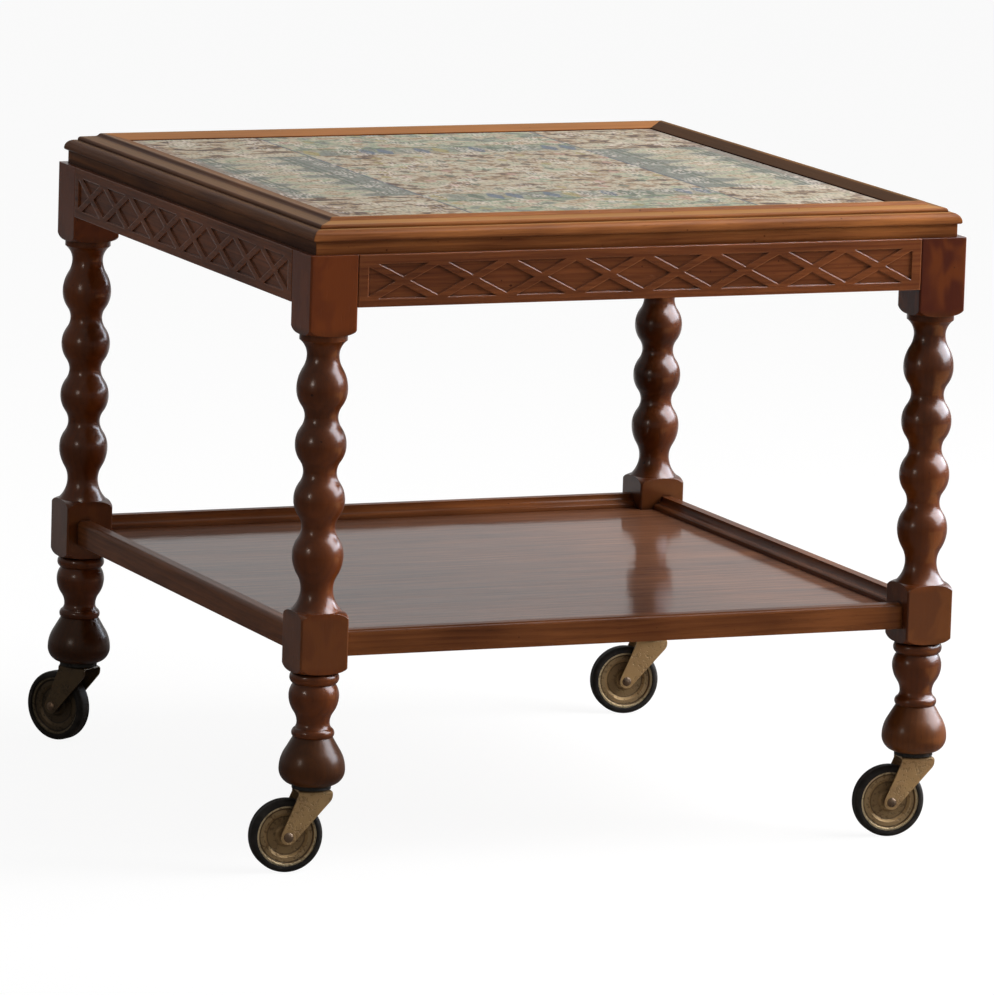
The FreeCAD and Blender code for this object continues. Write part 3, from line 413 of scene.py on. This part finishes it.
def wood(
    name, along, seed, stain, shade=1.0, coat=0.2, shine=0.14, rough=0.46, level=0.08,
    rings=0.10, fibres=0.3, mottle=0.5, ripples=1.0, worn=0.3, soften=0.0007, corner_shade_share=0.8, reach=0.006,
    blocks=(), blotches=0.4, painted_top_light=None, bevel=1.0,
):
    """Stained wood with faint growth rings, fibres and pores that run along one axis.

    Coat and shine are the varnish's share and roughness. Rings, fibres, mottle, ripples, blotches and worn
    say how strongly each shows, and the corner shade share how strongly painted shade darkens the corners.
    Soften is the radius of worn edges, and reach how far that painted shade spreads from a corner. Shade
    scales the
    whole stain: below 1 it is painted shade, above 1 painted light. The painted top light, for a top rail, is
    the colour towards which faces that look up turn, a painted light from above, and the bevel's painted
    shade is the share of colour left on what lies nearer to the table's middle than BEVEL_EDGE.
    """
    # The stain scaled by shade: painted shade below 1, painted light above 1
    dark, light = (darker(colour, shade) for colour in stain)
    graph = painted(name)
    place = graph.position()
    across = [place[axis] for axis in range(3) if axis != along]
    length = place[along]

    def grain(waves, shift, *settings):
        """Noise drawn out along the grain."""
        at = graph.vector(across[0] * waves[0], across[1] * waves[0], length * waves[1] + shift)
        return graph.noise(at, 1.0, *settings)

    # Growth rings round a pith outside the piece, bent slowly along the board
    sway = graph.noise(graph.vector(seed * 3.1, length * SWAYS_PER_METRE, seed))
    ripple = grain(RIPPLES, seed, 3.0)
    side = across[0] + PITH[0] + (sway - 0.5) * 0.05
    up = across[1] + PITH[1] + (ripple - 0.5) * 0.02
    ring = graph.math("FRACT", graph.length(side, up) * RINGS_PER_METRE + ripple * 0.7)
    late = graph.step(ring, *LATE_WOOD) * (1.0 - graph.step(ring, *EARLY_WOOD))
    # Fibres, pores and slow changes of tone
    fibre = grain(FIBRES, seed, 3.0, 0.6)
    streak = grain(STREAKS, -seed, 3.0, 0.55)
    pore = graph.step(grain(PORES, -seed, 1.0), *PORE_STEP)
    cloud = grain(CLOUDS, seed, 2.0)
    tone = late * rings + (fibre - 0.5) * fibres + (streak - 0.5) * fibres * 1.6
    tone = tone + (cloud - 0.5) * mottle + 0.45
    middle = tuple((a + b) / 2 for a, b in zip(dark, light))
    colour = graph.ramp(tone, [(0.15, light), (0.48, middle), (0.85, dark)])
    colour = graph.mix(pore * 0.3, colour, darker(dark, 0.5))
    # Square blocks take the stain redder and brighter than the turned wood, with dark blotches
    for low, high, pale, deep in blocks:
        blotch = graph.step(
            grain(BLOTCHES, -seed, 2.0, 0.5, 0.6), 0.52 - 0.14 * blotches, 0.64 - 0.10 * blotches
        )
        warm = graph.mix(blotch * blotches, darker(pale, shade), deep)
        colour = graph.mix(graph.band(length, low, high, BLOCK_SOFTNESS) * 0.8, colour, warm)
    # Faces that look up are painted paler, a painted light from above; the bevel beside the textile gets
    # painted shade; and small dark nicks lie anywhere
    if painted_top_light:
        colour = graph.mix(graph.step(graph.upward(), *UPWARD_STEP) * 0.45, colour, darker(painted_top_light, shade))
        outside = graph.beyond(graph.size(place[1 - along]), BEVEL_EDGE, BEVEL_SOFTNESS)
        bevel_shade_tint = (bevel, bevel * 0.85, bevel * 0.7)
        colour = graph.mix(1.0 - outside, colour, bevel_shade_tint, "MULTIPLY")
    nick = graph.noise(graph.vector(*(axis * NICKS_PER_METRE for axis in place)), 1.0, 1.0)
    colour = graph.mix(graph.step(nick, *NICK_STEP) * 0.7, colour, darker(dark, 0.3))
    # Painted shade in the corners and a paler line on worn edges
    rounded = graph.rounded(soften)
    painted_corner_shade = 1.0 - graph.step(graph.nearness(reach), *CORNER_SHADE_STEP)
    colour = graph.mix(painted_corner_shade * corner_shade_share, colour, darker(dark, 0.22))
    edge = graph.step(graph.edges(rounded) + (cloud - 0.5) * 0.08, *WORN_STEP)
    colour = graph.mix(edge * worn, colour, tuple(min(1.0, c * 1.9) for c in light))
    graph.set(
        graph.shader,
        Base_Color=colour,
        Roughness=rough + fibre * 0.10,
        Specular_IOR_Level=level,
        Specular_Tint=(1.0, 0.50, 0.22),
        Coat_Weight=coat,
        Coat_Roughness=shine,
        Normal=graph.bump(fibre * 0.35 - pore * 0.6, 0.0001, rounded),
        Coat_Normal=graph.bump(cloud * ripples + fibre * 0.10, 0.0004, rounded),
    )
    return graph.material


def metal(name, colours, roughness, seed, painted_shade_share=1.0, spots=0.5, shine=0.35, rings=(), hinge=None):
    """Plated metal gone dull, with tarnish spots, painted shade where other surfaces are near, and rings of
    other colours, some of them painted highlight and shade, round a wheel's hinge. The painted shade share
    darkens it all.
    """
    # Both colours darkened by the painted shade share
    clean, stain = (darker(colour, painted_shade_share) for colour in colours)
    graph = painted(name)
    x, y, z = graph.position()
    at = graph.vector(x + seed, y, z)
    cloud = graph.noise(at, CLOUDS_PER_METRE, 3.0)
    speck = graph.noise(at, SPECKS_PER_METRE, 2.0, 0.6)
    spot = graph.step(speck + (cloud - 0.5) * 0.4, *SPOT_STEP)
    colour = graph.mix(graph.step(cloud, 0.3, 0.75) * 0.5, clean, stain)
    if rings:
        centre, axis = hinge["pos_m"], hinge["axis"]
        side = (x - centre[0]) * axis[1] - (y - centre[1]) * axis[0]
        radius = graph.length(side, z - centre[2])
        # Rings of colour, among them a painted highlight on the lip and painted shade in the groove
        for low, high, tint, strength in rings:
            ring = graph.band(radius, low, high, RING_SOFTNESS)
            colour = graph.mix(ring * strength, colour, darker(tint, painted_shade_share))
    colour = graph.mix(spot * spots, colour, darker(stain, 0.45))
    # Painted shade, nearly black, where other surfaces are near
    painted_corner_shade = 1.0 - graph.step(graph.nearness(0.010), 0.25, 0.9)
    colour = graph.mix(painted_corner_shade * 0.85, colour, darker(stain, 0.08))
    graph.set(
        graph.shader,
        Base_Color=colour,
        Metallic=shine,
        Specular_IOR_Level=0.3,
        Roughness=roughness + spot * 0.25,
        Normal=graph.bump(cloud * 0.4 - spot * 0.5, 0.0003, graph.rounded(0.0004)),
    )
    return graph.material


def rubber():
    """Matt black rubber with dust on it."""
    graph = painted("tyre_rubber")
    dust = graph.noise(graph.vector(*graph.position()), DUST_PER_METRE, 3.0)
    graph.set(
        graph.shader,
        Base_Color=graph.mix(graph.step(dust, 0.35, 0.8), RUBBER, DUST),
        Roughness=0.55 + dust * 0.15,
        Specular_IOR_Level=0.12,
        Normal=graph.bump(dust, 0.0003, graph.rounded(0.0006)),
    )
    return graph.material


def motifs(graph, x, y, width, height, colours, seed):
    """Small diamonds in rows, each row set off by half a step: the mask and the colours."""
    row = graph.cell(y, height)
    shifted = x + graph.math("MODULO", row, 2.0) * (width / 2)
    reach = graph.away(shifted + width / 2, width) / width + graph.away(y + height / 2, height) / height
    chance = graph.chance(graph.vector(graph.cell(shifted, width), row, seed))
    share = 1.0 / len(colours)
    palette = graph.ramp(chance, [(k * share, c) for k, c in enumerate(colours)], "CONSTANT")
    return 1.0 - graph.step(reach, 0.26, 0.32), palette


def textile():
    """A brocade in nine fields, of diamonds, ovals, dabs and stripes in muted colours."""
    graph = painted("woven_textile")
    x, y, _ = graph.position()
    across = graph.size(x)
    along = graph.size(y)

    def clouds(waves, shift, *settings):
        """Noise with its own number of waves each way."""
        return graph.noise(graph.vector(x * waves[0], y * waves[1], shift), 1.0, *settings)

    patch = clouds(PATCHES, 1.0, 3.0, 0.6)
    wash = clouds(WASHES, 31.0, 2.0, 0.5, 0.5)
    fleck = clouds(FLECKS, 4.0, 2.0, 0.6)
    patch = patch + (wash - 0.5) * 0.7
    # Middle field: rows of diamonds on cream and brown
    tone = patch + (fleck - 0.5) * 0.5
    middle = graph.ramp(tone, [(0.29, BROWN), (0.44, TAN), (0.52, CREAM), (0.60, CREAM), (0.70, MOSS)])
    mask, palette = motifs(graph, x, y, *MIDDLE_DIAMONDS, 1.0)
    middle = graph.mix(mask * 0.75, middle, palette)
    # Corners: cream scrolls with brown shade
    tone = clouds(SCROLLS, 9.0, 3.0, 0.55, 0.8) + (fleck - 0.5) * 0.35
    corner = graph.ramp(tone, [(0.38, BROWN), (0.47, TAN), (0.53, CREAM), (0.63, CREAM), (0.72, MOSS)])
    # Side fields: cream ovals between moss and slate
    oval = graph.away(y + OVAL_PITCH / 2, OVAL_PITCH) / (OVAL_PITCH / 2)
    oval = oval + graph.size(across - OVAL_MIDDLE) / OVAL_HALF_WIDTH
    tone = oval * 0.35 + patch * 0.55 + (fleck - 0.5) * 0.3
    flank = graph.ramp(
        tone, [(0.36, CREAM), (0.44, TAN), (0.51, CREAM), (0.59, MOSS), (0.68, CREAM), (0.86, SLATE)]
    )
    # End fields: moss and cream with small diamonds
    tone = patch + (fleck - 0.5) * 0.3
    end = graph.ramp(tone, [(0.36, SLATE), (0.46, MOSS), (0.56, CREAM), (0.68, TAN)])
    mask, palette = motifs(graph, x + 0.4, y, *END_DIAMONDS, 2.0)
    end = graph.mix(mask * 0.6, end, palette)
    # The fields and the stripes between them
    is_side = graph.beyond(across, SIDE_FIELD, FIELD_SOFTNESS)
    is_end = graph.beyond(along, END_FIELD, FIELD_SOFTNESS)
    colour = graph.mix(is_end, middle, end)
    colour = graph.mix(is_side, colour, flank)
    for low, high, thread, strength in STRIPES:
        colour = graph.mix(graph.band(across, low, high) * strength, colour, thread)
    colour = graph.mix(is_side * is_end, colour, corner)
    # Dabs in a row along each end of the middle field, with a green line outside them
    dab = graph.away(x, DAB_PITCH) / DAB_HALF[0] + graph.size(along - DAB_MIDDLE) / DAB_HALF[1]
    chance = graph.chance(graph.vector(graph.cell(x + DAB_PITCH / 2, DAB_PITCH), 3.0, 5.0))
    hue = graph.ramp(chance, [(0.0, BLUE), (0.35, TEAL), (0.55, SLATE), (0.8, MUSTARD)], "CONSTANT")
    inside = 1.0 - is_side
    row = graph.band(along, *DAB_ROW) * inside
    colour = graph.mix(row * 0.45, colour, SLATE)
    colour = graph.mix(row * (1.0 - graph.step(dab, 0.8, 1.1)) * 0.8, colour, hue)
    colour = graph.mix(graph.band(along, *GREEN_LINE) * inside * 0.8, colour, GREEN)
    # Russet outermost threads
    colour = graph.mix(graph.beyond(across, BORDER, FIELD_SOFTNESS) * 0.5, colour, RUSSET)
    # Single threads, some of them white
    thread = graph.chance(graph.vector(graph.cell(x, STITCH[0]), graph.cell(y, STITCH[1]), 7.0))
    white = graph.step(thread, 0.62, 0.66) * graph.step(clouds(TUFTS, 17.0, 1.0), 0.50, 0.62)
    colour = graph.mix(white * 0.6, colour, CHALK)
    colour = graph.mix((1.0 - graph.step(thread, 0.05, 0.30)) * 0.5, colour, BROWN)
    weave = graph.math("SINE", x * WEAVE) * graph.math("SINE", y * WEAVE)
    graph.set(
        graph.shader,
        Base_Color=colour,
        Roughness=0.88,
        Specular_IOR_Level=0.15,
        Sheen_Weight=0.12,
        Normal=graph.bump(weave * 0.5 + thread * 0.8 + fleck, 0.00025),
    )
    return graph.material


def link(name, data):
    """A new object in the scene."""
    made = bpy.data.objects.new(name, data)
    bpy.context.scene.collection.objects.link(made)
    return made


def make_textile():
    """The textile as a thin stretched sheet that follows the panel, with its edges turned down."""
    field_half = CLOTH_HALF - CLOTH_ROUND
    sheet = bmesh.new()
    bmesh.ops.create_grid(sheet, x_segments=CLOTH_CELLS, y_segments=CLOTH_CELLS, size=field_half)
    for point in sheet.verts:
        wave = sum(share * noise.noise(point.co * waves) for waves, share in CLOTH_WAVES)
        point.co.z = CLOTH_TOP + CLOTH_WAVE * wave
    rim = [edge for edge in sheet.edges if edge.is_boundary]

    def draw_out():
        """Draws the sheet's rim out into a new row: its edges and its points."""
        made = bmesh.ops.extrude_edge_only(sheet, edges=rim)["geom"]
        edges = [item for item in made if isinstance(item, bmesh.types.BMEdge)]
        return edges, {end for edge in edges for end in edge.verts}

    for angle in map(math.radians, CLOTH_TURNS):
        rim, points = draw_out()
        for point in points:
            for axis in (0, 1):
                if abs(point.co[axis]) > field_half - 1e-5:
                    out = CLOTH_HALF - CLOTH_ROUND * (1.0 - math.sin(angle))
                    point.co[axis] = math.copysign(out, point.co[axis])
            point.co.z = CLOTH_TOP - CLOTH_ROUND * (1.0 - math.cos(angle))
    for point in draw_out()[1]:
        point.co.z = CLOTH_LOW
    bmesh.ops.recalc_face_normals(sheet, faces=sheet.faces)
    if next(iter(sheet.faces)).normal.z < 0:
        bmesh.ops.reverse_faces(sheet, faces=sheet.faces)
    mesh = bpy.data.meshes.new("brocade")
    sheet.to_mesh(mesh)
    sheet.free()
    mesh.shade_smooth()
    mesh.materials.append(textile())
    piece = link("brocade", mesh)
    thick = piece.modifiers.new("thickness", "SOLIDIFY")
    thick.thickness = CLOTH_THICKNESS
    thick.offset = -1.0
    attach(piece, "table")
    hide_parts("top_textile")


def make_camera():
    azimuth, elevation, roll = (
        math.radians(angle) for angle in (CAMERA_AZIMUTH, CAMERA_ELEVATION, CAMERA_ROLL)
    )
    back = Vector((
        math.sin(azimuth) * math.cos(elevation),
        -math.cos(azimuth) * math.cos(elevation),
        math.sin(elevation),
    ))
    level = Vector((math.cos(azimuth), math.sin(azimuth), 0.0))
    upright = back.cross(level)
    right = level * math.cos(roll) + upright * math.sin(roll)
    up = upright * math.cos(roll) - level * math.sin(roll)
    aim = Vector((0.0, 0.0, AIM_HEIGHT)) + right * AIM_RIGHT + up * AIM_UP
    data = bpy.data.cameras.new("camera")
    data.lens = CAMERA_LENS_MM
    data.sensor_width = SENSOR_MM
    data.sensor_fit = "HORIZONTAL"
    data.clip_end = CAMERA_REACH
    camera = link("camera", data)
    turn = Matrix((right, up, back)).transposed().to_4x4()
    camera.matrix_world = Matrix.Translation(aim + back * CAMERA_DISTANCE) @ turn
    bpy.context.scene.camera = camera


def make_lamp(name, place, width, height, power, aim=TABLE_MIDDLE, colour=WHITE, lights="diffuse", only=()):
    """A rectangular lamp that lights either the diffuse surfaces or the gloss, of all nodes or of some."""
    data = bpy.data.lights.new(name, "AREA")
    data.shape = "RECTANGLE"
    data.size = width
    data.size_y = height
    data.energy = power
    data.color = colour
    lamp = link(name, data)
    lamp.location = place
    lamp.rotation_euler = (Vector(aim) - Vector(place)).to_track_quat("-Z", "Y").to_euler()
    lamp.visible_camera = False
    lamp.visible_glossy = lights == "gloss"
    lamp.visible_diffuse = lights == "diffuse"
    if only:
        lit = bpy.data.collections.new(name + "_lights")
        for node, piece in frame["nodes"].items():
            if node.startswith(only):
                lit.objects.link(piece)
        lamp.light_linking.receiver_collection = lit


def seen(graph, share):
    """1 for what the camera sees, a share for what gloss and glass show, 0 for bounced light."""
    path = graph.node("LightPath")
    camera, glossy, clear = (
        Field(graph, path.outputs[name]) for name in ("Is Camera Ray", "Is Glossy Ray", "Is Transmission Ray")
    )
    return graph.math("MAXIMUM", camera, graph.math("MAXIMUM", glossy, clear) * share)


def between(factor, low, high):
    """A number that runs from low to high with a factor."""
    return factor * (high - low) + low


def make_world():
    """The white backdrop, a dark gap over it, and a bank of soft light above."""
    world = bpy.data.worlds.new("studio")
    bpy.context.scene.world = world
    world.use_nodes = True
    graph = Graph(world.node_tree)
    x, y, z = graph.split(graph.node("TexCoord").outputs["Generated"])
    level = graph.length(x, y) + 0.001
    centred = graph.step((x * BACKDROP[0] + y * BACKDROP[1]) / level, *BACKDROP_SPREAD)
    backdrop = graph.band(z, *BACKDROP_BAND, BACKDROP_SOFTNESS)
    bank = graph.step(z, *BANK_START)
    share = between(centred * (backdrop * BACKDROP_SHARE + bank), DIM_SHARE, 1.0)
    background = graph.node("Background")
    graph.set(background, Color=WHITE, Strength=between(seen(graph, share), AMBIENT, 1.0))
    graph.end("OutputWorld", background)


def make_floor():
    """A pale floor that the camera sees as white with the table's soft shadow."""
    mesh = bpy.data.meshes.new("floor")
    half = FLOOR_SIZE / 2
    corners = [(-half, -half, 0.0), (half, -half, 0.0), (half, half, 0.0), (-half, half, 0.0)]
    mesh.from_pydata(corners, [], [(0, 1, 2, 3)])
    floor = link("floor", mesh)
    material = bpy.data.materials.new("pale_floor")
    material.use_nodes = True
    graph = Graph(material.node_tree)
    x, y, _ = graph.position()
    away = graph.length(x - FLOOR_PATCH[0], y - FLOOR_PATCH[1])
    share = between(1.0 - graph.step(away, *FLOOR_PATCH_EDGE), DIM_SHARE, 1.0)
    diffuse = graph.node("BsdfDiffuse")
    graph.set(diffuse, Color=between(seen(graph, 1.0), FLOOR_COLOUR, SEEN_FLOOR_COLOUR))
    glow = graph.node("Emission")
    graph.set(glow, Strength=seen(graph, share) * SEEN_FLOOR_GLOW)
    both = graph.node("AddShader")
    graph.tree.links.new(diffuse.outputs[0], both.inputs[0])
    graph.tree.links.new(glow.outputs[0], both.inputs[1])
    graph.end("OutputMaterial", both)
    mesh.materials.append(material)


def dress(node, material):
    """Gives a CAD node a material."""
    piece = frame["nodes"][node]
    piece.data.materials.clear()
    piece.data.materials.append(material)


def find_joint(name):
    return next(joint for joint in frame["record"]["behaviour"]["joints"] if joint["name"] == name)


def dress_corner(number, corner, looks):
    """A leg with its foot and its caster, but for the tyre."""
    # Looks hold this corner's painted light and shade for the leg and foot, and the painted shade on its
    # plating
    dress("leg_" + corner, wood(
        "leg_wood_" + corner, 2, 3.7 * number + 1.3, LEG_STAIN, looks["leg"],
        coat=0.5, shine=0.22, worn=0.25, mottle=1.1, rings=0.05, fibres=0.12, rough=0.34, level=0.12,
        ripples=0.35, blocks=LEG_BLOCKS, blotches=looks["blotches"]))
    dress("foot_" + corner, wood(
        "foot_wood_" + corner, 2, 2.9 * number + 5.1, FOOT_STAIN, looks["foot"],
        coat=0.34, shine=0.26, worn=0.25, mottle=1.0, rings=0.05, fibres=0.12, rough=0.36, level=0.12,
        ripples=0.5))
    caster_shade = looks["caster_shade"]
    dress("caster_fork_" + corner, metal(
        "plate_" + corner, FORK_METAL, 0.40, number + 0.3, caster_shade, spots=0.38))
    dress("caster_wheel_" + corner, metal(
        "disc_" + corner, DISC_METAL, 0.50, number + 2.3, caster_shade, shine=0.4, rings=WHEEL_RINGS_WITH_PAINTED_LIGHT,
        hinge=find_joint(corner + "_roll")))
    rivet = metal("rivet_" + corner, RIVET_METAL, 0.40, number + 5.3, shine=0.6)
    for part in ("stem", "axle", "hub"):
        dress("caster_" + part + "_" + corner, rivet)
    dress("caster_socket_" + corner, metal("socket_" + corner, SOCKET_METAL_IN_SHADE, 0.7, number + 7.1, shine=0.0))


def dress_side(number, side, looks):
    """The rails, the apron and the holding block of one side."""
    along = number % 2
    seed = 2.3 * number + 0.7
    # The top rail's stain and its bevel take this side's painted shade
    dress("top_rail_" + side, wood(
        "top_wood_" + side, along, seed, TOP_STAIN, looks["stain"],
        coat=looks["coat"], shine=0.15, level=looks["level"], mottle=0.95, fibres=0.5, worn=0.12,
        painted_top_light=TOP_PAINTED_LIGHT, bevel=looks["bevel"]))
    dress("apron_" + side, wood(
        "apron_wood_" + side, along, seed + 11, APRON_STAIN,
        coat=0.5, shine=0.15, mottle=0.7, fibres=0.36, reach=0.0035, corner_shade_share=0.95, worn=0.5, soften=0.0015))
    dress("shelf_rail_" + side, wood(
        "rail_wood_" + side, along, seed + 23, RAIL_STAIN,
        coat=0.25, shine=0.15, mottle=0.9, reach=0.004, worn=0.6))
    dress("hold_block_" + side, wood("block_wood_" + side, along, seed + 31, RAW_WOOD, coat=0.0))


def dress_table():
    for number, (corner, looks) in enumerate(CORNERS.items()):
        dress_corner(number, corner, looks)
    tyre = rubber()
    for corner in CORNERS:
        dress("caster_tyre_" + corner, tyre)
    for number, (side, looks) in enumerate(SIDES.items()):
        dress_side(number, side, looks)
    dress("shelf_panel", wood(
        "shelf_wood", 0, 41.0, SHELF_STAIN, coat=0.48, shine=0.06, rings=0.12, mottle=0.7, fibres=0.7))
    board = wood("panel_wood", 0, 47.0, RAW_WOOD, coat=0.0)
    dress("top_panel", board)
    dress("wood_screws", metal("screw_steel", SCREW_METAL, 0.4, 9.0, shine=0.9))
    # The textile's own solid isn't seen, as the sheet stands for it
    dress("top_textile", board)


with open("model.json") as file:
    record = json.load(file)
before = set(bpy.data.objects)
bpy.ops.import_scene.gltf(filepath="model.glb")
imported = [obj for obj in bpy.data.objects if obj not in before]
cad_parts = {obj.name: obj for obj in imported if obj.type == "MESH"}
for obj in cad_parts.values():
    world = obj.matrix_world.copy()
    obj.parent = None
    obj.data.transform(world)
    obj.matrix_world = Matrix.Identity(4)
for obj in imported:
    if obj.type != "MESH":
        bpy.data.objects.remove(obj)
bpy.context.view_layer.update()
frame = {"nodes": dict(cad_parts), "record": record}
make_camera()
make_world()
make_floor()
for lamp in LAMPS:
    make_lamp(**lamp)
dress_table()
make_textile()

bpy.context.scene.view_settings.view_transform = "Standard"
